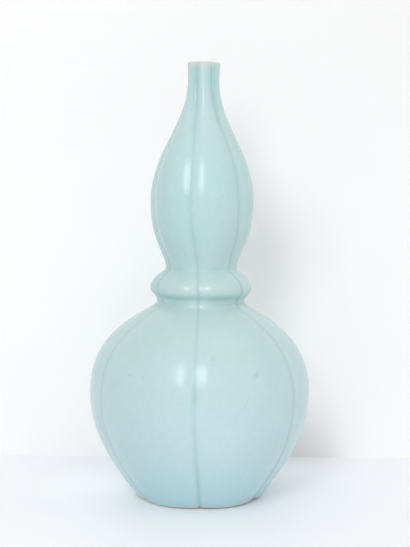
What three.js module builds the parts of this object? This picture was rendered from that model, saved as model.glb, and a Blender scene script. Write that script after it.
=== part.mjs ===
// Lobed gourd vase: fired clay sections luted together with slip.
// Millimetres, +Z up. The foot stands on z = 0 and the axis of the vase is the Z axis.
import * as THREE from 'three';

// Radii to the middle of a lobe, from the foot up
const footRadius = 57.7;
const bellyRadius = 101.6;
const lowerCreaseRadius = 40.2;
const upperCreaseRadius = 32.5;
const bulbRadius = 47.7;
const neckRadius = 14.9;

// The collar between the creases is nearly as wide as the upper bulb
const collarInset = 1.2;
const collarRadius = bulbRadius - collarInset;

// The neck widens a little to the mouth
const mouthFlare = 0.6;
const mouthRadius = neckRadius + mouthFlare;

// Rise from each of those places to the next, and the length of the neck
const bellyRise = 98;
const shoulderRise = 83;
const collarUndersideRise = 13;
const collarTopRise = 18;
const bulbRise = 61.5;
const flankRise = 110;
const neckLength = 16.5;

// The outline leaves the foot at this angle from upright
const footLean = THREE.MathUtils.degToRad(36);

// Lobes, the depth of the grooves between them, and how far the grooves turn as they climb
const lobeCount = 6;
const grooveDepth = 2.8;
const lowerBulbTwist = THREE.MathUtils.degToRad(-4);
const waistTwist = THREE.MathUtils.degToRad(-11);
const neckTwist = THREE.MathUtils.degToRad(-15);
const neckTwistStart = 34;

// Clay left behind the bottom of a groove
const bodyWall = 4;
const neckWall = 3.2;
const footWall = 5;

// Foot ring, with a rebate that the floor sits in
const footHeight = 14;
const footBevel = 1;
const floorThickness = 6;
const floorLedgeWidth = 4.5;
const floorClearance = 0.3;

// Luting slip: thickness of a joint, and how far it is squeezed out inside
const slipThickness = 0.8;
const slipRidge = 1.2;

const lipRound = 1.2;

// Facets along one lobe, up the foot ring and up the neck
const stepsPerLobe = 8;
const footSteps = 3;
const neckSteps = 3;
const lobePitch = (2 * Math.PI) / lobeCount;
const stepsRound = lobeCount * stepsPerLobe;

// Heights above the foot edge
const bellyHeight = bellyRise;
const lowerCreaseHeight = bellyHeight + shoulderRise;
const collarHeight = lowerCreaseHeight + collarUndersideRise;
const upperCreaseHeight = collarHeight + collarTopRise;
const bulbHeight = upperCreaseHeight + bulbRise;
const throatHeight = bulbHeight + flankRise;
const mouthHeight = throatHeight + neckLength;
const bowlHeight = footHeight + slipThickness;

// Curve through places on an outline. It stands upright at each place, or leans where the place says so.
// Arrive and leave are the shares of a rise over which the curve keeps to that direction.
function outlineThrough(places) {
  const spans = [];
  for (let index = 1; index < places.length; index += 1) {
    const from = places[index - 1];
    const to = places[index];
    const rise = to.height - from.height;
    const leaving = from.leave * rise;
    const drift = leaving * Math.tan(from.lean ?? 0);
    spans.push(
      new THREE.CubicBezierCurve(
        new THREE.Vector2(from.radius, from.height),
        new THREE.Vector2(from.radius + drift, from.height + leaving),
        new THREE.Vector2(to.radius, to.height - to.arrive * rise),
        new THREE.Vector2(to.radius, to.height),
      ),
    );
  }
  return spans;
}

// Point on an outline, where each span is one unit long
function outlinePoint(outline, along) {
  const index = Math.min(Math.floor(along), outline.length - 1);
  return outline[index].getPoint(along - index);
}

// How far along an outline a height is reached. Outlines only climb, so halving the range finds it.
function alongAtHeight(outline, height) {
  const halvings = 40;
  let low = 0;
  let high = outline.length;
  for (let count = 0; count < halvings; count += 1) {
    const middle = (low + high) / 2;
    if (outlinePoint(outline, middle).y < height) {
      low = middle;
    } else {
      high = middle;
    }
  }
  return (low + high) / 2;
}

function radiusAtHeight(outline, height) {
  return outlinePoint(outline, alongAtHeight(outline, height)).x;
}

// Outside of the vase, along the middle of a lobe
const outside = outlineThrough([
  { radius: footRadius, height: 0, lean: footLean, leave: 0.26 },
  { radius: bellyRadius, height: bellyHeight, arrive: 0.43, leave: 0.75 },
  { radius: lowerCreaseRadius, height: lowerCreaseHeight, arrive: 0.1, leave: 0.62 },
  { radius: collarRadius, height: collarHeight, arrive: 0.5, leave: 0.51 },
  { radius: upperCreaseRadius, height: upperCreaseHeight, arrive: 0.17, leave: 0.23 },
  { radius: bulbRadius, height: bulbHeight, arrive: 0.6, leave: 0.41 },
  { radius: neckRadius, height: throatHeight, arrive: 0.37, leave: 0.33 },
  { radius: mouthRadius, height: mouthHeight, arrive: 0.33 },
]);

// Cavity, which is round and passes straight behind the collar
const bodyInset = grooveDepth + bodyWall;
const boreRadius = neckRadius - grooveDepth - neckWall;
const bowlFloorRadius = radiusAtHeight(outside, bowlHeight) - bodyInset / Math.cos(footLean);
const cavity = outlineThrough([
  { radius: bowlFloorRadius, height: bowlHeight, lean: footLean, leave: 0.3 },
  { radius: bellyRadius - bodyInset, height: bellyHeight, arrive: 0.4, leave: 0.74 },
  { radius: lowerCreaseRadius - bodyInset, height: lowerCreaseHeight, arrive: 0.21, leave: 0.3 },
  { radius: upperCreaseRadius - bodyInset, height: upperCreaseHeight, arrive: 0.3, leave: 0.27 },
  { radius: bulbRadius - bodyInset, height: bulbHeight, arrive: 0.58, leave: 0.4 },
  { radius: boreRadius, height: throatHeight, arrive: 0.41, leave: 0.33 },
  { radius: boreRadius, height: mouthHeight, arrive: 0.33 },
]);

// Rows of an outline from one height to another, with the two end heights kept exact.
// Rows of the outside are lobed, and rows of the cavity are round.
function rowsBetween(outline, low, high, steps) {
  const start = alongAtHeight(outline, low);
  const end = alongAtHeight(outline, high);
  const lobed = outline === outside;
  const rows = [];
  for (let step = 0; step <= steps; step += 1) {
    const point = outlinePoint(outline, start + ((end - start) * step) / steps);
    rows.push({ radius: point.x, height: point.y, lobed });
  }
  rows[0].height = low;
  rows[steps].height = high;
  return rows;
}

// Turn of the grooves at a height: a drift from the foot to the belly, then more through the waist and the neck
function twistAtHeight(height) {
  const { clamp, smoothstep } = THREE.MathUtils;
  const shareOfBelly = clamp(height / bellyHeight, 0, 1);
  return (
    lowerBulbTwist * Math.sin((Math.PI / 2) * shareOfBelly) +
    waistTwist * smoothstep(height, lowerCreaseHeight, bulbHeight) +
    neckTwist * smoothstep(height, bulbHeight + neckTwistStart, mouthHeight)
  );
}

// Distance from the axis at an angle from a lobe's middle. A lobe is an arc from groove to groove.
function lobeDistance(crestRadius, angle) {
  const grooveRadius = crestRadius - grooveDepth;
  const halfChord = grooveRadius * Math.sin(lobePitch / 2);
  const bulge = crestRadius - grooveRadius * Math.cos(lobePitch / 2);
  const arcRadius = (halfChord ** 2 + bulge ** 2) / (2 * bulge);
  const arcCentre = crestRadius - arcRadius;
  return arcCentre * Math.cos(angle) + Math.sqrt(arcRadius ** 2 - (arcCentre * Math.sin(angle)) ** 2);
}

// Points round one row, starting at the groove that faces -Y at the foot
function ringPoints(row) {
  const turn = twistAtHeight(row.height);
  const points = [];
  for (let step = 0; step < stepsRound; step += 1) {
    const acrossLobe = (step % stepsPerLobe) / stepsPerLobe - 0.5;
    const distance = row.lobed ? lobeDistance(row.radius, acrossLobe * lobePitch) : row.radius;
    const angle = (step / stepsPerLobe) * lobePitch + turn;
    points.push(distance * Math.sin(angle), -distance * Math.cos(angle), row.height);
  }
  return points;
}

// Closed ring of clay whose section is the given loop of rows: up the outside, then down the inside
function ringGeometry(rows) {
  const positions = rows.flatMap(ringPoints);
  const triangles = [];
  for (let row = 0; row < rows.length; row += 1) {
    const here = row * stepsRound;
    const next = ((row + 1) % rows.length) * stepsRound;
    for (let step = 0; step < stepsRound; step += 1) {
      const after = (step + 1) % stepsRound;
      triangles.push(here + step, here + after, next + after);
      triangles.push(here + step, next + after, next + step);
    }
  }
  const geometry = new THREE.BufferGeometry();
  geometry.setAttribute('position', new THREE.Float32BufferAttribute(positions, 3));
  geometry.setIndex(triangles);
  geometry.computeVertexNormals();
  return geometry;
}

const vase = new THREE.Group();

function addGlazed(name, geometry) {
  const glaze = new THREE.MeshStandardMaterial({ color: 0xb9dadd, roughness: 0.3, metalness: 0 });
  const mesh = new THREE.Mesh(geometry, glaze);
  mesh.name = name;
  vase.add(mesh);
  return mesh;
}

function addSlip(name, geometry) {
  const slip = new THREE.MeshStandardMaterial({ color: 0xd8cfc0, roughness: 0.8, metalness: 0 });
  const mesh = new THREE.Mesh(geometry, slip);
  mesh.name = name;
  vase.add(mesh);
}

// Foot ring: scalloped outside, round inside, with a flat edge to stand on and a ledge for the floor
const footBore = footRadius - grooveDepth - footWall;
const rebateRadius = footBore + floorLedgeWidth;
const floorRadius = rebateRadius - floorClearance;
const ledgeHeight = footHeight - floorThickness - slipThickness;
addGlazed(
  'foot_ring',
  ringGeometry([
    { radius: footRadius - footBevel, height: 0, lobed: true },
    ...rowsBetween(outside, footBevel, footHeight, footSteps),
    { radius: rebateRadius, height: footHeight },
    { radius: rebateRadius, height: ledgeHeight },
    { radius: footBore, height: ledgeHeight },
    { radius: footBore, height: footBevel },
    { radius: footBore + footBevel, height: 0 },
  ]),
);

// Floor disc, bedded in slip on the foot ring's ledge with its top level with the ring's
const floorGeometry = new THREE.CylinderGeometry(floorRadius, floorRadius, floorThickness, stepsRound);
floorGeometry.rotateX(Math.PI / 2);
const floor = addGlazed('base_floor', floorGeometry);
floor.position.z = footHeight - floorThickness / 2;

addSlip(
  'floor_slip',
  ringGeometry([
    { radius: floorRadius, height: ledgeHeight },
    { radius: floorRadius, height: ledgeHeight + slipThickness },
    { radius: footBore, height: ledgeHeight + slipThickness },
    { radius: footBore, height: ledgeHeight },
  ]),
);

// Luted joints from the foot up, at their middle heights
const joints = [
  { name: 'foot_slip', height: footHeight + slipThickness / 2 },
  { name: 'belly_slip', height: bellyHeight },
  { name: 'shoulder_slip', height: lowerCreaseHeight },
  { name: 'waist_slip', height: upperCreaseHeight },
  { name: 'bulb_slip', height: bulbHeight },
  { name: 'neck_slip', height: throatHeight },
];
for (const joint of joints) {
  const low = joint.height - slipThickness / 2;
  const high = joint.height + slipThickness / 2;
  const ridgeRadius = radiusAtHeight(cavity, joint.height) - slipRidge;
  addSlip(
    joint.name,
    ringGeometry([
      ...rowsBetween(outside, low, high, 1),
      { radius: ridgeRadius, height: high },
      { radius: ridgeRadius, height: low },
    ]),
  );
}

// Body sections, one between each joint and the next
const sections = [
  { name: 'lower_bulb_bottom', outsideSteps: 9, cavitySteps: 5 },
  { name: 'lower_bulb_top', outsideSteps: 12, cavitySteps: 7 },
  { name: 'waist_collar', outsideSteps: 12, cavitySteps: 4 },
  { name: 'upper_bulb_bottom', outsideSteps: 8, cavitySteps: 5 },
  { name: 'upper_bulb_top', outsideSteps: 11, cavitySteps: 7 },
];
sections.forEach((section, index) => {
  const low = joints[index].height + slipThickness / 2;
  const high = joints[index + 1].height - slipThickness / 2;
  addGlazed(
    section.name,
    ringGeometry([
      ...rowsBetween(outside, low, high, section.outsideSteps),
      ...rowsBetween(cavity, low, high, section.cavitySteps).reverse(),
    ]),
  );
});

// Neck, with a lip rounded over outside and inside
const neckLow = throatHeight + slipThickness / 2;
const lipStart = mouthHeight - lipRound;
const lipTurns = [Math.PI / 4, Math.PI / 2];
const lipRow = (turn) => ({
  inset: lipRound * (1 - Math.cos(turn)),
  height: lipStart + lipRound * Math.sin(turn),
});
const lipRows = lipTurns.map(lipRow);
addGlazed(
  'neck',
  ringGeometry([
    ...rowsBetween(outside, neckLow, lipStart, neckSteps),
    ...lipRows.map(({ inset, height }) => ({ radius: mouthRadius - inset, height, lobed: true })),
    ...lipRows.map(({ inset, height }) => ({ radius: boreRadius + inset, height })).reverse(),
    { radius: boreRadius, height: lipStart },
    { radius: boreRadius, height: neckLow },
  ]),
);

export default vase;
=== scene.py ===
import math

import bmesh
import bpy
from mathutils import Matrix, Vector, noise


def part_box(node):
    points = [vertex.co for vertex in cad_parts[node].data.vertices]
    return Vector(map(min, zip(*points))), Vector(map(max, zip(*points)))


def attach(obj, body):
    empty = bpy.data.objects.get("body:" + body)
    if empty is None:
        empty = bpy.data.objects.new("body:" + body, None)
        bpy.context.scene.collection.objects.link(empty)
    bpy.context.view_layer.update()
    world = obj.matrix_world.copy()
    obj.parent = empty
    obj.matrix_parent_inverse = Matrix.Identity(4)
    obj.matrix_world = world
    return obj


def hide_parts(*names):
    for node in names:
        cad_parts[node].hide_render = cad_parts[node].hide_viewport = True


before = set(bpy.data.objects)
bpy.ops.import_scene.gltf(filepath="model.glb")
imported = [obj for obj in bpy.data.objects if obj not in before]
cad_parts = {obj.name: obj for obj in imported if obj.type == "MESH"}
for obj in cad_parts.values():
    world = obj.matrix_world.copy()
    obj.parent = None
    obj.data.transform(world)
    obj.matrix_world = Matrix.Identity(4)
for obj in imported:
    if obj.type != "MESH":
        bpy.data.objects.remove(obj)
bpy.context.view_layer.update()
print("frame:", len(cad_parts), "clay sections and slips loaded")

# form that the glaze, the foot and the lobes share, in metres and radians
gourd = {
    "lobes": 6,
    "grooveDepth": 0.0028,
    "footLean": math.radians(36),
    "footBevel": 0.001,
    "collarShare": 13 / 31,  # the collar is widest this far up the waist
    "bodyInset": 0.0068,  # from a lobe's crest to the cavity
    "neckInset": 0.006,
    "lowerTwist": math.radians(-4),
    "waistTwist": math.radians(-11),
    "neckTwist": math.radians(-15),
    "neckTwistStart": 0.034,  # above the upper bulb's widest line
    "lipRound": 0.0012,
    "stepsPerLobe": 32,
    "grooveCrowding": 0.85,  # columns crowd towards the grooves
    "hair": 1e-6,  # points closer than this are one
}
lobePitch = 2 * math.pi / gourd["lobes"]
stepsRound = gourd["lobes"] * gourd["stepsPerLobe"]


def crestOf(name, below=1.0):
    points = [v.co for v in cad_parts[name].data.vertices if v.co.z < below]
    return max(math.hypot(p.x, p.y) for p in points)


def middleOf(name):
    low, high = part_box(name)
    return (low.z + high.z) / 2


# the joints between the clay sections give the heights and radii of the outline
footRadius = crestOf("foot_ring", below=0.0001) + gourd["footBevel"]  # from its standing edge
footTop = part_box("foot_ring")[1].z
bellyHeight = middleOf("belly_slip")
lowerCrease = middleOf("shoulder_slip")
upperCrease = middleOf("waist_slip")
collarHeight = lowerCrease + gourd["collarShare"] * (upperCrease - lowerCrease)
bulbHeight = middleOf("bulb_slip")
throatHeight = middleOf("neck_slip")
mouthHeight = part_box("neck")[1].z
neckRadius = crestOf("neck_slip")
mouthRadius = crestOf("neck")
boreRadius = neckRadius - gourd["neckInset"]


# arrive and leave are the shares of a span over which the outline keeps its direction
def place(radius, height, arrive=0.0, leave=0.0, lean=0.0):
    return {"radius": radius, "height": height, "arrive": arrive, "leave": leave, "lean": lean}


outsidePlaces = [
    place(footRadius, 0.0, leave=0.26, lean=gourd["footLean"]),
    place(crestOf("belly_slip"), bellyHeight, 0.43, 0.75),
    place(crestOf("shoulder_slip"), lowerCrease, 0.1, 0.62),
    place(crestOf("waist_collar"), collarHeight, 0.5, 0.51),
    place(crestOf("waist_slip"), upperCrease, 0.17, 0.23),
    place(crestOf("bulb_slip"), bulbHeight, 0.6, 0.41),
    place(neckRadius, throatHeight, 0.37, 0.33),
    place(mouthRadius, mouthHeight, 0.33),
]


# point and upward direction on one span of an outline, share from 0 to 1
def spanPoint(start, end, share):
    rise = end["height"] - start["height"]
    leaving = start["leave"] * rise
    corners = [
        Vector((start["radius"], start["height"])),
        Vector((start["radius"] + leaving * math.tan(start["lean"]), start["height"] + leaving)),
        Vector((end["radius"], end["height"] - end["arrive"] * rise)),
        Vector((end["radius"], end["height"])),
    ]
    left = 1 - share
    point = (
        corners[0] * left**3
        + corners[1] * 3 * left**2 * share
        + corners[2] * 3 * left * share**2
        + corners[3] * share**3
    )
    heading = (
        (corners[1] - corners[0]) * left**2
        + (corners[2] - corners[1]) * 2 * left * share
        + (corners[3] - corners[2]) * share**2
    )
    return point, heading.normalized()


def pointAtHeight(places, height):
    for start, end in zip(places, places[1:]):
        if height <= end["height"]:
            break
    low, high = 0.0, 1.0
    for halving in range(30):
        middle = (low + high) / 2
        if spanPoint(start, end, middle)[0].y < height:
            low = middle
        else:
            high = middle
    return spanPoint(start, end, low)


# moves a point of an outline square to it, outwards for a positive distance
def standOff(point, heading, distance):
    return point + Vector((heading.y, -heading.x)) * distance


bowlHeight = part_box("lower_bulb_bottom")[0].z
bowlInset = gourd["bodyInset"] / math.cos(gourd["footLean"])
bowlRadius = pointAtHeight(outsidePlaces, bowlHeight)[0].x - bowlInset
cavityPlaces = [
    place(bowlRadius, bowlHeight, leave=0.3, lean=gourd["footLean"]),
    place(crestOf("belly_slip") - gourd["bodyInset"], bellyHeight, 0.4, 0.74),
    place(crestOf("shoulder_slip") - gourd["bodyInset"], lowerCrease, 0.21, 0.3),
    place(crestOf("waist_slip") - gourd["bodyInset"], upperCrease, 0.3, 0.27),
    place(crestOf("bulb_slip") - gourd["bodyInset"], bulbHeight, 0.58, 0.4),
    place(boreRadius, throatHeight, 0.41, 0.33),
    place(boreRadius, mouthHeight, 0.33),
]
print("outline:", len(outsidePlaces), "places outside,", len(cavityPlaces), "inside")


def smoothStep(value, low, high):
    share = min(max((value - low) / (high - low), 0.0), 1.0)
    return share * share * (3 - 2 * share)


def bell(distance, width):
    return math.exp(-((distance / width) ** 2))


def twistAt(height):
    shareOfBelly = min(max(height / bellyHeight, 0.0), 1.0)
    neckStart = bulbHeight + gourd["neckTwistStart"]
    return (
        gourd["lowerTwist"] * math.sin(math.pi / 2 * shareOfBelly)
        + gourd["waistTwist"] * smoothStep(height, lowerCrease, bulbHeight)
        + gourd["neckTwist"] * smoothStep(height, neckStart, mouthHeight)
    )


# a lobe is an arc from groove to groove, and the angle is taken from its middle
def lobeDistance(crest, angle):
    groove = crest - gourd["grooveDepth"]
    halfChord = groove * math.sin(lobePitch / 2)
    bulge = crest - groove * math.cos(lobePitch / 2)
    arc = (halfChord**2 + bulge**2) / (2 * bulge)
    centre = crest - arc
    return centre * math.cos(angle) + math.sqrt(arc**2 - (centre * math.sin(angle)) ** 2)


# one ring of a piece: its share of the lobes is 1 outside and 0 inside
def rowAt(radius, height, share=0.0, thin=0.0):
    return {"radius": radius, "height": height, "share": share, "thin": thin}


# spins a chain of rows round the axis, then lobes and twists it
def spinRows(name, rows, closed, shapeRow=None):
    bm = bmesh.new()
    rowLayer = bm.verts.layers.float.new("row")
    poolAndShadeLayer = bm.verts.layers.float.new("poolAndShade")
    thinLayer = bm.verts.layers.float.new("thin")
    chain = []
    for index, row in enumerate(rows):
        vert = bm.verts.new((0.0, -row["radius"], row["height"]))
        vert[rowLayer] = index
        chain.append(vert)
    for first, second in zip(chain, chain[1:]):
        bm.edges.new((first, second))
    if closed:
        bm.edges.new((chain[-1], chain[0]))
    bmesh.ops.spin(
        bm, geom=bm.verts[:] + bm.edges[:], cent=(0, 0, 0), axis=(0, 0, 1), dvec=(0, 0, 0),
        angle=2 * math.pi, steps=stepsRound, use_merge=True,
    )
    for vert in bm.verts:
        row = rows[round(vert[rowLayer])]
        turn = (math.atan2(vert.co.x, -vert.co.y) / lobePitch) % gourd["lobes"]
        lobe = math.floor(turn + gourd["hair"])
        across = max(turn - lobe, 0.0)
        across -= gourd["grooveCrowding"] * math.sin(2 * math.pi * across) / (2 * math.pi)
        angle = (lobe + across) * lobePitch + twistAt(row["height"])
        lobed = lobeDistance(row["radius"], (across - 0.5) * lobePitch) if row["share"] else 0.0
        distance = row["radius"] + (lobed - row["radius"]) * row["share"]
        fromGroove = min(across, 1 - across) * lobePitch * row["radius"]
        height = row["height"]
        if shapeRow:
            distance, height, poolAndShade, thin = shapeRow(row, distance, height, angle, fromGroove)
            vert[poolAndShadeLayer] = poolAndShade
            vert[thinLayer] = min(thin + row["thin"], 1.0)
        vert.co = (distance * math.sin(angle), -distance * math.cos(angle), height)
    bmesh.ops.remove_doubles(bm, verts=bm.verts[:], dist=gourd["hair"])
    bmesh.ops.recalc_face_normals(bm, faces=bm.faces[:])
    if bm.calc_volume(signed=True) < 0:
        bmesh.ops.reverse_faces(bm, faces=bm.faces[:])
    bm.verts.layers.float.remove(bm.verts.layers.float["row"])
    for face in bm.faces:
        face.smooth = True
    mesh = bpy.data.meshes.new(name)
    bm.to_mesh(mesh)
    openEdges = sum(1 for edge in bm.edges if len(edge.link_faces) != 2)
    triangles = sum(len(face.verts) - 2 for face in bm.faces)
    bm.free()
    piece = bpy.data.objects.new(name, mesh)
    bpy.context.scene.collection.objects.link(piece)
    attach(piece, "root")
    print(name + ":", triangles, "triangles,", openEdges, "open edges")
    return piece


# glaze: one coat, from a line above the foot's bare edge over the lip and down to the floor inside
glaze = {
    "thickness": 0.0004,
    "clearance": 0.0001,  # between the coat and the clay
    "lineHeight": 0.0009,
    "lineReach": 0.004,  # the line's waves die out above it
    "lineWave": 0.0002,
    "lineWaves": [(3, 0.7, 1.0), (7, 2.1, 0.7), (13, 0.0, 0.5)],  # waves round the foot, start, share
    "notchRise": 0.0009,  # bare clay shows higher in the grooves
    "notchWidth": 0.0016,
    "rimRound": 0.0007,
    "rimSteps": 6,
    "rowsPerSpan": [40, 50, 20, 24, 28, 44, 8],
    "backRowsPerSpan": [18, 22, 9, 10, 14, 20, 3],
    "lipSteps": 5,
    "backLipSteps": 2,
    "cavityRows": 44,
    "backCavityRows": 34,
    "slipRidge": 0.0013,
    "ridgeWidth": 0.0016,
    "ridgeRows": (-2.6, -1.7, -1.0, -0.5, 0.0, 0.5, 1.0, 1.7, 2.6),  # in ridge widths from a joint
    "ridgeClear": 3,  # in ridge widths, no other rows come this near to a joint
    "floorFillet": 0.0022,
    "filletSteps": 4,
    "filletStart": 0.45,  # the bowl leans out, so the fillet starts this share of it further out
    "floorShares": (0.8, 0.6, 0.4, 0.2, 0.0),
    "fill": 0.00032,  # glaze that rounds out the bottom of a groove
    "fillWidth": 0.0022,
    "fullGroove": 0.04,  # grooves narrow where the vase is slimmer than this
    "neckFill": 0.0006,
    "neckFillWidth": 0.0011,
    "furrowDepth": 0.00004,
    "furrowWidth": 0.0012,
    "unevenness": 0.00003,
    "unevenScales": [(42.0, 1.0), (130.0, 0.5)],
    "lipThinning": 0.0028,
    "rimThinning": 0.0011,
    "rimThin": 0.7,
}
joints = [bellyHeight, lowerCrease, upperCrease, bulbHeight, throatHeight]
lipStart = mouthHeight - gourd["lipRound"]


def lipThin(height):
    return math.exp(-(mouthHeight - height) / glaze["lipThinning"])


def coatOutside(standing, counts):
    rows = []
    for start, end, count in zip(outsidePlaces, outsidePlaces[1:], counts):
        for step in range(count):
            point, heading = spanPoint(start, end, step / count)
            if glaze["lineHeight"] < point.y < lipStart:
                moved = standOff(point, heading, standing)
                atRim = math.exp(-(point.y - glaze["lineHeight"]) / glaze["rimThinning"])
                thin = lipThin(point.y) + glaze["rimThin"] * atRim
                rows.append(rowAt(moved.x, moved.y, 1.0, min(thin, 1.0)))
    return rows


def coatLip(standing, steps):
    outer, inner = [], []
    for step in range(steps + 1):
        turn = math.pi / 2 * step / steps
        reach = (gourd["lipRound"] + standing) * math.cos(turn)
        height = lipStart + (gourd["lipRound"] + standing) * math.sin(turn)
        thin = lipThin(height - standing)
        outer.append(rowAt(mouthRadius - gourd["lipRound"] + reach, height, 1.0, thin))
        inner.append(rowAt(boreRadius + gourd["lipRound"] - reach, height, 0.0, thin))
    inner.reverse()
    middle = (outer[-1]["radius"] + inner[0]["radius"]) / 2
    return outer + [rowAt(middle, mouthHeight + standing, 0.5, 1.0)] + inner


def fromJoint(height):
    return min(abs(height - joint) for joint in joints)


# rows down the cavity from the lip, swollen over the ridges of slip where the coat needs it
def coatCavity(standing, count, ridge):
    width = glaze["ridgeWidth"]
    heights = {bowlHeight + (lipStart - bowlHeight) * step / count for step in range(1, count)}
    if ridge:
        nearJoint = {joint + width * step for joint in joints for step in glaze["ridgeRows"]}
        heights = {h for h in heights if fromJoint(h) > glaze["ridgeClear"] * width} | nearJoint
    rows = []
    for height in sorted(heights, reverse=True):
        point, heading = pointAtHeight(cavityPlaces, height)
        swell = ridge * bell(fromJoint(height), width)
        moved = standOff(point, heading, -standing)
        rows.append(rowAt(moved.x - swell, moved.y, 0.0, lipThin(height)))
    return rows


def coatFloor(standing):
    top = footTop + standing
    fillet = glaze["floorFillet"]
    rows = []
    for step in range(1, glaze["filletSteps"] + 1):
        turn = math.pi / 2 * step / glaze["filletSteps"]
        radius = bowlRadius - standing - fillet * math.sin(turn) + fillet * glaze["filletStart"]
        rows.append(rowAt(radius, top + fillet * (1 - math.sin(turn))))
    for share in glaze["floorShares"]:
        rows.append(rowAt((bowlRadius - fillet) * share, top))
    return rows


def coatRim():
    rows = []
    for step in range(glaze["rimSteps"]):
        turn = math.pi / 2 * step / glaze["rimSteps"]
        height = glaze["lineHeight"] + glaze["rimRound"] * (1 - math.cos(turn))
        point, heading = pointAtHeight(outsidePlaces, height)
        standing = glaze["clearance"] + (glaze["thickness"] - glaze["clearance"]) * math.sin(turn)
        moved = standOff(point, heading, standing)
        rows.append(rowAt(moved.x, moved.y, 1.0, 1.0))
    return rows


# one lobe of the foot stands a little clear of the table
lift = {
    "height": 0.0014,
    "angle": math.radians(63),
    "width": math.radians(5.5),
    "fade": 0.004,
}


def liftAt(angle, height):
    atFoot = 1 - smoothStep(height, 0.0, lift["fade"])
    return lift["height"] * bell(angle - lift["angle"], lift["width"]) * atFoot


# where the glaze gathers, and painted shade in grooves and under the collar: shares of the pooled colour, and
# half widths of the pools
poolingAndShade = {
    "groove": 0.3,
    "grooveFoot": 0.36,
    "grooveWaist": 0.22,
    "grooveNeck": 0.34,
    "frontGrooveShade": 0.2,  # painted shade in the front groove on the belly, between the highlights
    "frontHeight": 0.119,
    "frontReach": 0.016,
    "frontSpread": math.radians(25),
    # painted shade under the collar
    "shadeUnderCollar": 0.55,
    "upperCrease": 0.32,
    "lowerCrease": 0.22,
    "footReach": 0.09,
    "footFade": (-0.007, 0.027),  # the groove's pool runs thin at the foot
    "waistReach": 0.02,
    "neckStart": 0.04,  # above the upper bulb's widest line
    "sideGrooveShade": 0.5,  # painted shade: the grooves at both sides are darker
    "width": 0.0017,
    "widerFoot": 0.0003,
    "widerBelly": 0.0008,
    "widerBulb": 0.0008,
    "bulbReach": 0.03,  # above the upper crease
    "widerNeck": 0.0015,
    "shadeUnderCollarWidth": 0.0021,
    "creaseWidth": 0.0026,
    "creaseLift": 0.0016,  # the upper crease's pool sits on the bulb, above the joint
    "fade": (0.004, 0.018),  # pools and painted shade of the creases thin out towards a groove
    "shoulder": 0.16,  # the glaze thins on both shoulders of a groove near the foot
    "shoulderPlace": 0.0052,
    "shoulderWidth": 0.0022,
}
undersideHeight = (lowerCrease + collarHeight) / 2


def nearFoot(height):
    return 1 - smoothStep(height, 0.0, poolingAndShade["footReach"])


def upNeck(height):
    return smoothStep(height, bulbHeight + poolingAndShade["neckStart"], throatHeight)


# angle from the front, from minus to plus half a turn
def fromFront(angle):
    return (angle + math.pi) % (2 * math.pi) - math.pi


# pooled glaze in the grooves, with painted shade in the side grooves and in the front groove on the belly
def groovePoolAndShade(height, fromGroove, angle):
    inFront = bell(fromFront(angle), poolingAndShade["frontSpread"])
    strength = (
        poolingAndShade["groove"]
        + poolingAndShade["grooveFoot"] * nearFoot(height) * smoothStep(height, *poolingAndShade["footFade"])
        + poolingAndShade["grooveWaist"] * bell(height - collarHeight, poolingAndShade["waistReach"])
        + poolingAndShade["grooveNeck"] * upNeck(height)
        + poolingAndShade["frontGrooveShade"] * bell(height - poolingAndShade["frontHeight"], poolingAndShade["frontReach"]) * inFront
    )
    onBelly = (1 - nearFoot(height)) * (1 - smoothStep(height, bellyHeight, lowerCrease))
    onBulb = smoothStep(height, upperCrease, upperCrease + poolingAndShade["bulbReach"])
    width = (
        poolingAndShade["width"]
        + poolingAndShade["widerFoot"] * nearFoot(height)
        + poolingAndShade["widerBelly"] * onBelly
        + poolingAndShade["widerBulb"] * onBulb
        + poolingAndShade["widerNeck"] * upNeck(height)
    )
    return strength * (1 + poolingAndShade["sideGrooveShade"] * math.sin(angle) ** 2) * bell(fromGroove, width)


# pooled glaze in the creases, and painted shade under the collar
def creasePoolAndShade(height, fromGroove):
    onBulb = height - upperCrease - poolingAndShade["creaseLift"]
    strongest = max(
        poolingAndShade["shadeUnderCollar"] * bell(height - undersideHeight, poolingAndShade["shadeUnderCollarWidth"]),
        poolingAndShade["upperCrease"] * bell(onBulb, poolingAndShade["creaseWidth"]),
        poolingAndShade["lowerCrease"] * bell(height - lowerCrease, poolingAndShade["creaseWidth"]),
    )
    return strongest * smoothStep(fromGroove, *poolingAndShade["fade"])


def shoulderThin(height, fromGroove):
    onShoulder = bell(fromGroove - poolingAndShade["shoulderPlace"], poolingAndShade["shoulderWidth"])
    return poolingAndShade["shoulder"] * nearFoot(height) * onShoulder


# soft swellings by the front groove: one on the upper bulb, then two each on the collar,
# in the crease under it and on the belly
swells = [
    {"height": 0.295, "reach": 0.04, "aside": -0.014, "width": 0.02, "rise": 0.0011},
    {"height": 0.196, "reach": 0.009, "aside": -0.017, "width": 0.008, "rise": 0.0006},
    {"height": 0.196, "reach": 0.009, "aside": 0.016, "width": 0.008, "rise": 0.0012},
    {"height": 0.1813, "reach": 0.0038, "aside": 0.0, "width": 0.014, "rise": 0.0015},
    {"height": 0.1798, "reach": 0.0021, "aside": 0.0, "width": 0.012, "rise": 0.00045},
    {"height": 0.119, "reach": 0.022, "aside": -0.011, "width": 0.0075, "rise": 0.00045},
    {"height": 0.119, "reach": 0.022, "aside": 0.012, "width": 0.0075, "rise": 0.00075},
]


def swellAt(height, aside):
    total = 0.0
    for swell in swells:
        upright = bell(height - swell["height"], swell["reach"])
        total += swell["rise"] * upright * bell(aside - swell["aside"], swell["width"])
    return total


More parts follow.
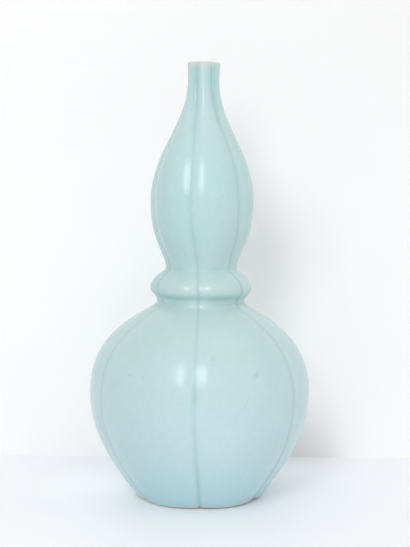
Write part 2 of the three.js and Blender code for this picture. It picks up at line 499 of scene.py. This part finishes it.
def shapeGlaze(row, distance, height, angle, fromGroove):
    poolAndShade, thin = 0.0, 0.0
    if row["share"] and row.get("front"):
        narrowing = (1 + min(1.0, row["radius"] / glaze["fullGroove"])) / 2
        width = glaze["fillWidth"] * narrowing + glaze["neckFillWidth"] * upNeck(height)
        filled = (glaze["fill"] + glaze["neckFill"] * upNeck(height)) * bell(fromGroove, width)
        furrow = glaze["furrowDepth"] * bell(fromGroove, glaze["furrowWidth"] * narrowing)
        distance += (filled - furrow) * row["share"]
        distance += swellAt(height, fromFront(angle - twistAt(height)) * row["radius"])
        spot = Vector((math.sin(angle) * distance, math.cos(angle) * distance, height))
        uneven = sum(share * noise.noise(spot * scale) for scale, share in glaze["unevenScales"])
        distance += glaze["unevenness"] * uneven
        # pooled glaze in the grooves and creases, with painted shade in the side grooves, the front groove and
        # under the collar
        poolAndShade = max(groovePoolAndShade(height, fromGroove, angle), creasePoolAndShade(height, fromGroove))
        thin = shoulderThin(height, fromGroove)
    if row["share"]:
        nearLine = bell(height - glaze["lineHeight"], glaze["lineReach"])
        wave = sum(share * math.sin(count * angle + start) for count, start, share in glaze["lineWaves"])
        notch = glaze["notchRise"] * bell(fromGroove, glaze["notchWidth"])
        height += (glaze["lineWave"] * wave + notch) * nearLine
        height += liftAt(angle, height)
    return distance, height, poolAndShade, thin


rimTop = glaze["lineHeight"] + glaze["rimRound"]
frontRows = coatRim()
frontRows += [row for row in coatOutside(glaze["thickness"], glaze["rowsPerSpan"]) if row["height"] > rimTop]
frontRows += coatLip(glaze["thickness"], glaze["lipSteps"])
frontRows += coatCavity(glaze["thickness"], glaze["cavityRows"], glaze["slipRidge"])
frontRows += coatFloor(glaze["thickness"])
for row in frontRows:
    row["front"] = True
backRows = coatOutside(glaze["clearance"], glaze["backRowsPerSpan"])
backRows += coatLip(glaze["clearance"], glaze["backLipSteps"])
backRows += coatCavity(glaze["clearance"], glaze["backCavityRows"], 0.0)
backRows += coatFloor(glaze["clearance"])
coat = spinRows("glaze_coat", frontRows[::-1] + backRows, False, shapeGlaze)

# foot ring with a wiped and rounded edge of bare clay
foot = {
    "edgeRound": 0.0013,
    "edgeSpread": 0.0006,  # the rounding ends this far outside the foot's radius
    "innerRound": 0.0012,
    "rows": 10,
    "roundSteps": 5,
    "rebateGap": 0.0003,
    "grit": 0.00006,
    "gritScale": 300.0,
    "gritShare": 0.5,  # of the foot's height
}
footBore = min(math.hypot(v.co.x, v.co.y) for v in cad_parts["foot_ring"].data.vertices)
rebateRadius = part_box("base_floor")[1].x + foot["rebateGap"]
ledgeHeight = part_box("floor_slip")[0].z


def footRows():
    rows = []
    for step in range(foot["roundSteps"] + 1):  # outer corner of the standing edge
        turn = math.pi / 2 * (1 - step / foot["roundSteps"])
        radius = footRadius + foot["edgeSpread"] - foot["edgeRound"] * math.sin(turn)
        rows.append(rowAt(radius, foot["edgeRound"] * (1 - math.cos(math.pi / 2 - turn)), 1.0))
    for step in range(1, foot["rows"] + 1):
        height = foot["edgeRound"] + (footTop - foot["edgeRound"]) * step / foot["rows"]
        rows.append(rowAt(pointAtHeight(outsidePlaces, height)[0].x, height, 1.0))
    rows.append(rowAt(rebateRadius, footTop))
    rows.append(rowAt(rebateRadius, ledgeHeight))
    rows.append(rowAt(footBore, ledgeHeight))
    for step in range(foot["roundSteps"] + 1):  # inner corner of the standing edge
        turn = math.pi / 2 * step / foot["roundSteps"]
        radius = footBore + foot["innerRound"] * (1 - math.cos(turn))
        rows.append(rowAt(radius, foot["innerRound"] * (1 - math.sin(turn))))
    return rows


def shapeFoot(row, distance, height, angle, fromGroove):
    if 0 < height < footTop * foot["gritShare"]:
        spot = Vector((math.sin(angle) * distance, math.cos(angle) * distance, height))
        distance += foot["grit"] * noise.noise(spot * foot["gritScale"])
    return distance, height + liftAt(angle, height), 0.0, 0.0


footRing = spinRows("bare_foot_ring", footRows(), True, shapeFoot)
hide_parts("foot_ring")

# glaze on the recessed underside, with faint turning rings
recess = {
    "thickness": 0.0004,
    "clearance": 0.00002,  # between the glaze and the clay
    "lineHeight": 0.0022,
    "edge": [(0.0001, 0.00015), (0.0, 0.0005)],  # outside the glaze's face, and above its line
    "fillet": 0.0016,
    "filletSteps": 5,
    "rings": 11,
    "rowsPerRing": 6,
    "ringDepth": 0.00009,
}
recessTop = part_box("base_floor")[0].z


def recessRows():
    wall = footBore - recess["thickness"]
    roof = recessTop - recess["thickness"]
    bore = footBore - recess["clearance"]
    ceiling = recessTop - recess["clearance"]
    rows = [rowAt(bore, recess["lineHeight"])]
    for out, up in recess["edge"]:
        rows.append(rowAt(wall + out, recess["lineHeight"] + up))
    for step in range(recess["filletSteps"] + 1):
        turn = math.pi / 2 * step / recess["filletSteps"]
        radius = wall - recess["fillet"] * (1 - math.cos(turn))
        rows.append(rowAt(radius, roof - recess["fillet"] * (1 - math.sin(turn))))
    flat = wall - recess["fillet"]
    count = recess["rings"] * recess["rowsPerRing"]
    for step in range(1, count + 1):
        ripple = recess["ringDepth"] * (1 - math.cos(2 * math.pi * step / recess["rowsPerRing"])) / 2
        rows.append(rowAt(flat * (1 - step / count), roof - ripple))
    return rows[::-1] + [rowAt(bore, ceiling), rowAt(0.0, ceiling)]


underGlaze = spinRows("recess_glaze", recessRows(), False)


def newMaterial(name):
    material = bpy.data.materials.new(name)
    material.use_nodes = True
    tree = material.node_tree
    coords = addNode(tree, "ShaderNodeTexCoord").outputs["Object"]
    return material, tree, tree.nodes["Principled BSDF"], coords


def addNode(tree, kind, inputs=None, **settings):
    made = tree.nodes.new(kind)
    for key, value in settings.items():
        setattr(made, key, value)
    for key, value in (inputs or {}).items():
        if isinstance(value, bpy.types.NodeSocket):
            tree.links.new(value, made.inputs[key])
        else:
            made.inputs[key].default_value = value
    return made


def mixColour(tree, factor, first, second, mode="MIX"):
    made = addNode(tree, "ShaderNodeMix", data_type="RGBA", blend_type=mode, clamp_factor=True)
    for index, value in ((0, factor), (6, first), (7, second)):
        if isinstance(value, bpy.types.NodeSocket):
            tree.links.new(value, made.inputs[index])
        else:
            made.inputs[index].default_value = value if index == 0 else (*value, 1.0)
    return made.outputs[2]


def calculate(tree, operation, first, second=0.0):
    made = addNode(tree, "ShaderNodeMath", {0: first, 1: second}, operation=operation)
    return made.outputs[0]


def spread(tree, value, low, high, toLow=0.0, toHigh=1.0, smooth=True):
    made = addNode(
        tree, "ShaderNodeMapRange",
        {"Value": value, "From Min": low, "From Max": high, "To Min": toLow, "To Max": toHigh},
        interpolation_type="SMOOTHSTEP" if smooth else "LINEAR",
    )
    return made.outputs[0]


def noiseAt(tree, coords, scale, detail=2.0, roughness=0.5):
    inputs = {"Vector": coords, "Scale": scale, "Detail": detail, "Roughness": roughness}
    return addNode(tree, "ShaderNodeTexNoise", inputs).outputs[0]


# noise lies mostly from 0.3 to 0.7, and here it is drawn out to a new range
def cloud(tree, coords, scale, detail=2.0, roughness=0.5, toLow=0.0, toHigh=1.0):
    return spread(tree, noiseAt(tree, coords, scale, detail, roughness), 0.3, 0.7, toLow, toHigh)


# full strength at a spot, fading to nothing at its reach
def nearSpot(tree, coords, spot, reach, strength):
    away = addNode(tree, "ShaderNodeVectorMath", {0: coords, 1: spot}, operation="DISTANCE")
    return spread(tree, away.outputs["Value"], reach, 0.0, 0.0, strength)


def roughen(tree, shader, relief, strength, distance):
    bump = addNode(tree, "ShaderNodeBump", {"Height": relief, "Strength": strength, "Distance": distance})
    tree.links.new(bump.outputs[0], shader.inputs["Normal"])


# pale blue-green glaze: deeper where it pools, cream where it thins, bluer low on the belly, with painted shade
# and painted light in places
celadon = {
    "pale": (0.525, 0.702, 0.688),
    "cool": (0.506, 0.692, 0.69),
    "driftScale": 16.0,
    "driftRange": (0.35, 0.65),
    "belly": (0.542, 0.737, 0.76),
    "bellyRange": (0.17, 0.07),
    # bluer low on the belly, and lighter there as painted light from the table
    "low": (0.508, 0.727, 0.783),
    "lowRange": (0.065, 0.005),
    "shadedSide": (0.93, 0.945, 0.94),  # share of the colour that is left on the painted-shade side
    "shadedSideRange": (0.02, -0.075),
    "bulbTint": (0.955, 0.993, 0.993),  # the upper bulb is a little greener
    "bulbRise": (0.22, 0.25),
    "bulbFall": (0.34, 0.3),
    "poolAndShadeColour": (0.325, 0.555, 0.552),
    "paintedShadeSpots": [((-0.047, -0.012, 0.226), 0.06, 0.32)],  # painted shade on the upper bulb's left side: place, reach and share of the pooled colour
    "paintedLightColour": (0.62, 0.81, 0.85),
    "paintedLightSpots": [((0.01, -0.0935, 0.058), 0.055, 0.3)],  # painted light low on the front of the belly: place, reach and share of its colour
    "mottleScale": 190.0,
    "mottle": 0.015,
    "speckScale": 110.0,
    "speckSize": (0.085, 0.03),
    "speckRarity": (0.93, 0.95),
    "speckStrength": 0.2,
    "thin": (0.67, 0.66, 0.585),
    "wornScale": 260.0,
    "wornLeast": 0.75,
    "roughness": (0.264, 0.238),  # on the belly and on the upper bulb
    "roughnessRange": (0.15, 0.21),
    "roughnessDrift": 0.006,
    "roughnessScale": 60.0,
    "peelScale": 420.0,
    "peelShare": 0.25,
    "waveScale": 70.0,
    "bumpStrength": 0.02,
    "bumpDepth": 0.0005,
    "refraction": 1.5,
    "mark": (0.4, 0.52, 0.47),
    "markScale": 900.0,
    "markRagged": 0.3,
    "markCore": 0.25,
    "marks": [  # place, half length and half width in metres, lean in degrees, strength
        ((0.0466, -0.0854, 0.1256), 0.0075, 0.0021, -45, 0.42),
        ((0.0092, -0.0880, 0.1404), 0.0036, 0.0028, 0, 0.36),
        ((0.0381, -0.0937, 0.1033), 0.0105, 0.0010, -70, 0.28),
        ((-0.0636, -0.0744, 0.1235), 0.0070, 0.0011, 15, 0.3),
        ((0.0194, -0.0555, 0.1684), 0.0040, 0.0015, 30, 0.18),
        ((-0.0578, -0.0653, 0.0437), 0.0013, 0.0011, 0, 0.3),
        ((-0.0375, -0.0780, 0.0421), 0.0013, 0.0012, 0, 0.2),
        ((-0.0455, -0.0608, 0.0248), 0.0030, 0.0012, 40, 0.25),
        ((0.0310, -0.0235, 0.3111), 0.0030, 0.0015, 30, 0.18),
    ],
}


# broad changes of colour over the body, with painted shade and painted light in places
def glazeBody(tree, coords):
    axes = addNode(tree, "ShaderNodeSeparateXYZ", {0: coords}).outputs
    drift = spread(tree, noiseAt(tree, coords, celadon["driftScale"], 3.0), *celadon["driftRange"])
    colour = mixColour(tree, drift, celadon["pale"], celadon["cool"])
    colour = mixColour(tree, spread(tree, axes[2], *celadon["bellyRange"]), colour, celadon["belly"])
    # bluer low on the belly, and lighter there as painted light from the table
    colour = mixColour(tree, spread(tree, axes[2], *celadon["lowRange"]), colour, celadon["low"])
    # painted shade: a little darker on the left side
    shadedSide = spread(tree, axes[0], *celadon["shadedSideRange"])
    colour = mixColour(tree, shadedSide, colour, celadon["shadedSide"], "MULTIPLY")
    rising = spread(tree, axes[2], *celadon["bulbRise"])
    onBulb = calculate(tree, "MULTIPLY", rising, spread(tree, axes[2], *celadon["bulbFall"]))
    colour = mixColour(tree, onBulb, colour, celadon["bulbTint"], "MULTIPLY")
    # painted shade on the upper bulb's left side, and painted light low on the belly's front
    for places, tint in (("paintedShadeSpots", "poolAndShadeColour"), ("paintedLightSpots", "paintedLightColour")):
        for spot, reach, share in celadon[places]:
            near = nearSpot(tree, coords, spot, reach, share)
            colour = mixColour(tree, near, colour, celadon[tint])
    return colour


# fine mottling, sparse specks, and the marks of use
def glazeMarks(tree, coords, colour):
    mottle = cloud(tree, coords, celadon["mottleScale"], 4.0, 0.6, 1 - celadon["mottle"], 1 + celadon["mottle"])
    grey = addNode(tree, "ShaderNodeCombineColor", {0: mottle, 1: mottle, 2: mottle}).outputs[0]
    colour = mixColour(tree, 1.0, colour, grey, "MULTIPLY")
    cells = addNode(tree, "ShaderNodeTexVoronoi", {"Vector": coords, "Scale": celadon["speckScale"]})
    rare = addNode(tree, "ShaderNodeSeparateColor", {0: cells.outputs["Color"]}).outputs[0]
    small = spread(tree, cells.outputs["Distance"], *celadon["speckSize"])
    speck = calculate(tree, "MULTIPLY", small, spread(tree, rare, *celadon["speckRarity"]))
    speck = calculate(tree, "MULTIPLY", speck, celadon["speckStrength"])
    colour = mixColour(tree, speck, colour, celadon["mark"])
    ragged = celadon["markRagged"]
    wobble = cloud(tree, coords, celadon["markScale"], toLow=-ragged, toHigh=ragged)
    for spot, length, width, lean, strength in celadon["marks"]:
        facing = Matrix.Rotation(math.atan2(spot[0], -spot[1]), 3, "Z")
        turned = (facing @ Matrix.Rotation(math.radians(lean), 3, "Y")).to_euler()
        inputs = {"Vector": coords, "Location": spot, "Rotation": turned, "Scale": (length, length, width)}
        mapping = addNode(tree, "ShaderNodeMapping", inputs, vector_type="TEXTURE")
        reach = addNode(tree, "ShaderNodeVectorMath", {0: mapping.outputs[0]}, operation="LENGTH")
        edge = calculate(tree, "ADD", reach.outputs["Value"], wobble)
        inside = spread(tree, edge, 1.0, celadon["markCore"], 0.0, strength)
        colour = mixColour(tree, inside, colour, celadon["mark"])
    return colour


def glazeMaterial():
    material, tree, shader, coords = newMaterial("celadon_glaze")
    colour = glazeMarks(tree, coords, glazeBody(tree, coords))
    # pooled glaze, and painted shade in some grooves and under the collar
    poolAndShade = addNode(tree, "ShaderNodeAttribute", attribute_name="poolAndShade").outputs["Fac"]
    colour = mixColour(tree, poolAndShade, colour, celadon["poolAndShadeColour"])
    thin = addNode(tree, "ShaderNodeAttribute", attribute_name="thin").outputs["Fac"]
    patchy = cloud(tree, coords, celadon["wornScale"], 3.0, toLow=celadon["wornLeast"])
    colour = mixColour(tree, calculate(tree, "MULTIPLY", thin, patchy), colour, celadon["thin"])
    tree.links.new(colour, shader.inputs["Base Color"])
    height = addNode(tree, "ShaderNodeSeparateXYZ", {0: coords}).outputs[2]
    drift = celadon["roughnessDrift"]
    drifting = cloud(tree, coords, celadon["roughnessScale"], 3.0, toLow=-drift, toHigh=drift)
    satin = spread(tree, height, *celadon["roughnessRange"], *celadon["roughness"])
    tree.links.new(calculate(tree, "ADD", satin, drifting), shader.inputs["Roughness"])
    peel = calculate(tree, "MULTIPLY", noiseAt(tree, coords, celadon["peelScale"]), celadon["peelShare"])
    relief = calculate(tree, "ADD", peel, noiseAt(tree, coords, celadon["waveScale"]))
    roughen(tree, shader, relief, celadon["bumpStrength"], celadon["bumpDepth"])
    shader.inputs["IOR"].default_value = celadon["refraction"]
    return material


# bare fired clay: sanded pale underneath, a dark grey-green edge above that is partly painted shade, flashed
# red-brown where the glaze ends
clay = {
    "sanded": (0.52, 0.46, 0.39),
    "body": (0.36, 0.36, 0.31),
    "bodyHeight": 0.0009,
    "flash": (0.45, 0.25, 0.18),
    "flashHeight": 0.001,
    "flashShare": (0.4, 0.9),  # on the standing edge and above it
    "flashMiddle": 0.007,  # across the front
    "flashEnds": (0.024, 0.012),  # from there, the red ends, and is full
    "flashDepth": (0.0, -0.02),
    "flashFront": 0.8,
    "patchScale": 45.0,
    "patchRange": (0.5, 0.66),
    "patchShare": 0.6,
    "grit": (0.2, 0.16, 0.13),
    "gritScale": 1400.0,
    "gritRange": (0.58, 0.72),
    "gritShare": 0.5,
    "bumpScale": 1100.0,
    "bumpStrength": 0.5,
    "bumpDepth": 0.0002,
    "roughness": 0.85,
}


def bareClayMaterial():
    material, tree, shader, coords = newMaterial("bare_clay")
    axes = addNode(tree, "ShaderNodeSeparateXYZ", {0: coords}).outputs
    colour = mixColour(tree, spread(tree, axes[2], 0.0, clay["bodyHeight"]), clay["sanded"], clay["body"])
    aside = calculate(tree, "ABSOLUTE", calculate(tree, "SUBTRACT", axes[0], clay["flashMiddle"]))
    across = spread(tree, aside, *clay["flashEnds"])
    inFront = calculate(tree, "MULTIPLY", across, spread(tree, axes[1], *clay["flashDepth"]))
    inFront = calculate(tree, "MULTIPLY", inFront, clay["flashFront"])
    spots = noiseAt(tree, coords, clay["patchScale"], 3.0)
    patches = spread(tree, spots, *clay["patchRange"], 0.0, clay["patchShare"])
    above = spread(tree, axes[2], 0.0, clay["flashHeight"], *clay["flashShare"])
    flashing = calculate(tree, "MULTIPLY", calculate(tree, "MAXIMUM", inFront, patches), above)
    colour = mixColour(tree, flashing, colour, clay["flash"])
    gritty = spread(tree, noiseAt(tree, coords, clay["gritScale"]), *clay["gritRange"])
    gritty = calculate(tree, "MULTIPLY", gritty, clay["gritShare"])
    tree.links.new(mixColour(tree, gritty, colour, clay["grit"]), shader.inputs["Base Color"])
    relief = noiseAt(tree, coords, clay["bumpScale"], 4.0)
    roughen(tree, shader, relief, clay["bumpStrength"], clay["bumpDepth"])
    shader.inputs["Roughness"].default_value = clay["roughness"]
    return material


# clay under the glaze, and the slip that joins it
hidden = {
    "biscuit_clay": {"pale": (0.7, 0.67, 0.6), "dark": (0.6, 0.56, 0.48), "scale": 55.0},
    "luting_slip": {"pale": (0.74, 0.7, 0.62), "dark": (0.62, 0.57, 0.48), "scale": 120.0},
    "bumpScale": 800.0,
    "bumpStrength": 0.35,
    "bumpDepth": 0.0002,
    "roughness": 0.8,
}


def hiddenMaterial(name):
    look = hidden[name]
    material, tree, shader, coords = newMaterial(name)
    cloudy = cloud(tree, coords, look["scale"], 5.0, 0.6)
    tree.links.new(mixColour(tree, cloudy, look["pale"], look["dark"]), shader.inputs["Base Color"])
    relief = noiseAt(tree, coords, hidden["bumpScale"], 3.0)
    roughen(tree, shader, relief, hidden["bumpStrength"], hidden["bumpDepth"])
    shader.inputs["Roughness"].default_value = hidden["roughness"]
    return material


glazeFinish = glazeMaterial()
bareClayFinish = bareClayMaterial()
biscuitFinish = hiddenMaterial("biscuit_clay")
slipFinish = hiddenMaterial("luting_slip")
coat.data.materials.append(glazeFinish)
underGlaze.data.materials.append(glazeFinish)
footRing.data.materials.append(bareClayFinish)
for name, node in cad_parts.items():
    finish = slipFinish if name.endswith("_slip") else biscuitFinish
    for index in range(len(node.data.materials)):
        node.data.materials[index] = finish
print("finishes: glaze, bare clay, biscuit clay and slip")

# pale table with a white wall standing on it behind the vase
stand = {
    "halfWidth": 2.5,
    "front": -2.5,
    "back": 2.5,
    "drop": 0.00005,  # the table lies this far under the foot
    "wallPlace": 0.155,
    "wallHeight": 2.5,
    "cloudScale": 9.0,
    "paler": 1.02,
    "paintedShadeTop": 0.92,  # painted shade: the wall is a little darker higher up
    "paintedShadeRange": (0.15, 0.5),
    "roughness": 0.45,
}
# beside the vase, painted light as glow lies on one side and painted shadow on the other: place, reach,
# strength
tableLook = {
    "colour": (0.86, 0.87, 0.9),
    "glow": 0.08,
    "paintedGlow": [((-0.07, 0.03, 0.0), 0.11, 0.12)],
    "paintedShadow": [((0.1, 0.155, 0.0), 0.06, 0.05)],
}
wallLook = {
    "colour": (0.965, 0.958, 0.955),
    "glow": 0.05,
    "paintedGlow": [((-0.08, 0.155, 0.14), 0.24, 0.03)],
    "paintedShadow": [((0.075, 0.155, 0.22), 0.1, 0.11), ((0.1, 0.155, 0.0), 0.07, 0.2)],
}
white = (1.0, 1.0, 1.0, 1.0)


def stageMaterial(name, look):
    material, tree, shader, coords = newMaterial(name)
    paler = tuple(min(channel * stand["paler"], 1.0) for channel in look["colour"])
    shadedTop = tuple(channel * stand["paintedShadeTop"] for channel in look["colour"])
    height = addNode(tree, "ShaderNodeSeparateXYZ", {0: coords}).outputs[2]
    shade = mixColour(tree, cloud(tree, coords, stand["cloudScale"]), look["colour"], paler)
    # painted shade, darker higher up
    shade = mixColour(tree, spread(tree, height, *stand["paintedShadeRange"]), shade, shadedTop)
    # painted shadow beside the vase
    for spot, reach, share in look["paintedShadow"]:
        shade = mixColour(tree, nearSpot(tree, coords, spot, reach, share), shade, (0.0, 0.0, 0.0))
    tree.links.new(shade, shader.inputs["Base Color"])
    glow = look["glow"]
    # painted light beside the vase, as glow
    for spot, reach, share in look["paintedGlow"]:
        glow = calculate(tree, "ADD", nearSpot(tree, coords, spot, reach, share), glow)
    shader.inputs["Emission Color"].default_value = white
    tree.links.new(glow, shader.inputs["Emission Strength"])
    shader.inputs["Roughness"].default_value = stand["roughness"]
    # seen from behind, the sheet is clear
    clear = addNode(tree, "ShaderNodeBsdfTransparent")
    behind = addNode(tree, "ShaderNodeNewGeometry").outputs["Backfacing"]
    both = addNode(tree, "ShaderNodeMixShader", {0: behind, 1: shader.outputs[0], 2: clear.outputs[0]})
    tree.links.new(both.outputs[0], tree.nodes["Material Output"].inputs["Surface"])
    return material


def makeStage(name, turned, low, high, look):
    bm = bmesh.new()
    bmesh.ops.create_grid(bm, x_segments=1, y_segments=1, size=1.0)
    bmesh.ops.scale(bm, vec=(stand["halfWidth"], (high - low) / 2, 1.0), verts=bm.verts[:])
    bmesh.ops.translate(bm, vec=(0.0, (high + low) / 2, -stand["drop"]), verts=bm.verts[:])
    if turned:
        upright = Matrix.Rotation(math.pi / 2, 3, "X")
        bmesh.ops.rotate(bm, cent=(0, 0, 0), matrix=upright, verts=bm.verts[:])
        bmesh.ops.translate(bm, vec=(0.0, stand["wallPlace"], 0.0), verts=bm.verts[:])
    mesh = bpy.data.meshes.new(name)
    bm.to_mesh(mesh)
    bm.free()
    mesh.materials.append(stageMaterial(name, look))
    sheet = bpy.data.objects.new(name, mesh)
    bpy.context.scene.collection.objects.link(sheet)


makeStage("table_top", False, stand["front"], stand["back"], tableLook)
makeStage("white_wall", True, 0.0, stand["wallHeight"], wallLook)
print("stage: table and wall")

# light: white surroundings, a tall soft lamp in front to the left, and a weak wide one on the right
light = {
    "surroundings": 0.611,
    "keyPower": 5.4,
    "keyWidth": 0.3,
    "keyHeight": 0.8,
    "keyDistance": 1.5,
    "keySide": -15.5,
    "keyLift": 29.0,
    "keyRoll": 4.0,
    "fillPower": 4.6,
    "fillWidth": 1.2,
    "fillDistance": 1.6,
    "fillSide": 24.0,
    "fillLift": 56.0,
    "aim": (0.0, 0.0, 0.2),
}


def makeWorld():
    world = bpy.data.worlds.new("white_surroundings")
    bpy.context.scene.world = world
    world.use_nodes = True
    tree = world.node_tree
    path = addNode(tree, "ShaderNodeLightPath").outputs
    seen = calculate(tree, "MAXIMUM", path["Is Camera Ray"], path["Is Transmission Ray"])
    seen = calculate(tree, "MAXIMUM", seen, path["Is Glossy Ray"])
    strength = spread(tree, seen, 0.0, 1.0, light["surroundings"], 1.0, False)
    background = tree.nodes["Background"]
    background.inputs["Color"].default_value = white
    tree.links.new(strength, background.inputs["Strength"])


def makeLamp(name, power, width, height, distance, side, lift, roll):
    lamp = bpy.data.lights.new(name, "AREA")
    lamp.shape = "RECTANGLE"
    lamp.size = width
    lamp.size_y = height
    lamp.energy = power
    holder = bpy.data.objects.new(name, lamp)
    side, lift = math.radians(side), math.radians(lift)
    away = Vector((math.sin(side) * math.cos(lift), -math.cos(side) * math.cos(lift), math.sin(lift)))
    rolled = Matrix.Rotation(math.radians(roll), 3, "Z")
    holder.rotation_euler = (away.to_track_quat("Z", "Y").to_matrix() @ rolled).to_euler()
    holder.location = Vector(light["aim"]) + away * distance
    bpy.context.scene.collection.objects.link(holder)
    return holder


makeWorld()
makeLamp(
    "key_lamp", light["keyPower"], light["keyWidth"], light["keyHeight"], light["keyDistance"],
    light["keySide"], light["keyLift"], light["keyRoll"],
)
fill = makeLamp(
    "fill_lamp", light["fillPower"], light["fillWidth"], light["fillWidth"], light["fillDistance"],
    light["fillSide"], light["fillLift"], 0.0,
)
fill.visible_glossy = False
print("light: surroundings, key lamp and fill lamp")

# camera where the photograph was taken from
shot = {
    "distance": 1.195,
    "height": 0.304,
    "side": math.radians(-1.4),
    "turn": math.radians(0.171),
    "pitch": math.radians(4.638),
    "roll": math.radians(0.76),
    "lens": 85.23,
    "sensor": 36.0,
}


def makeCamera():
    camera = bpy.data.objects.new("camera", bpy.data.cameras.new("camera"))
    camera.data.lens = shot["lens"]
    camera.data.sensor_width = shot["sensor"]
    heading = Matrix.Rotation(shot["side"] - shot["turn"], 4, "Z")
    tilt = Matrix.Rotation(math.pi / 2 - shot["pitch"], 4, "X")
    across = shot["distance"] * math.sin(shot["side"])
    back = -shot["distance"] * math.cos(shot["side"])
    spot = Matrix.Translation((across, back, shot["height"]))
    camera.matrix_world = spot @ heading @ tilt @ Matrix.Rotation(shot["roll"], 4, "Z")
    bpy.context.scene.collection.objects.link(camera)
    bpy.context.scene.camera = camera


makeCamera()
bpy.context.scene.view_settings.view_transform = "Standard"
print("camera: set at the photograph's view")
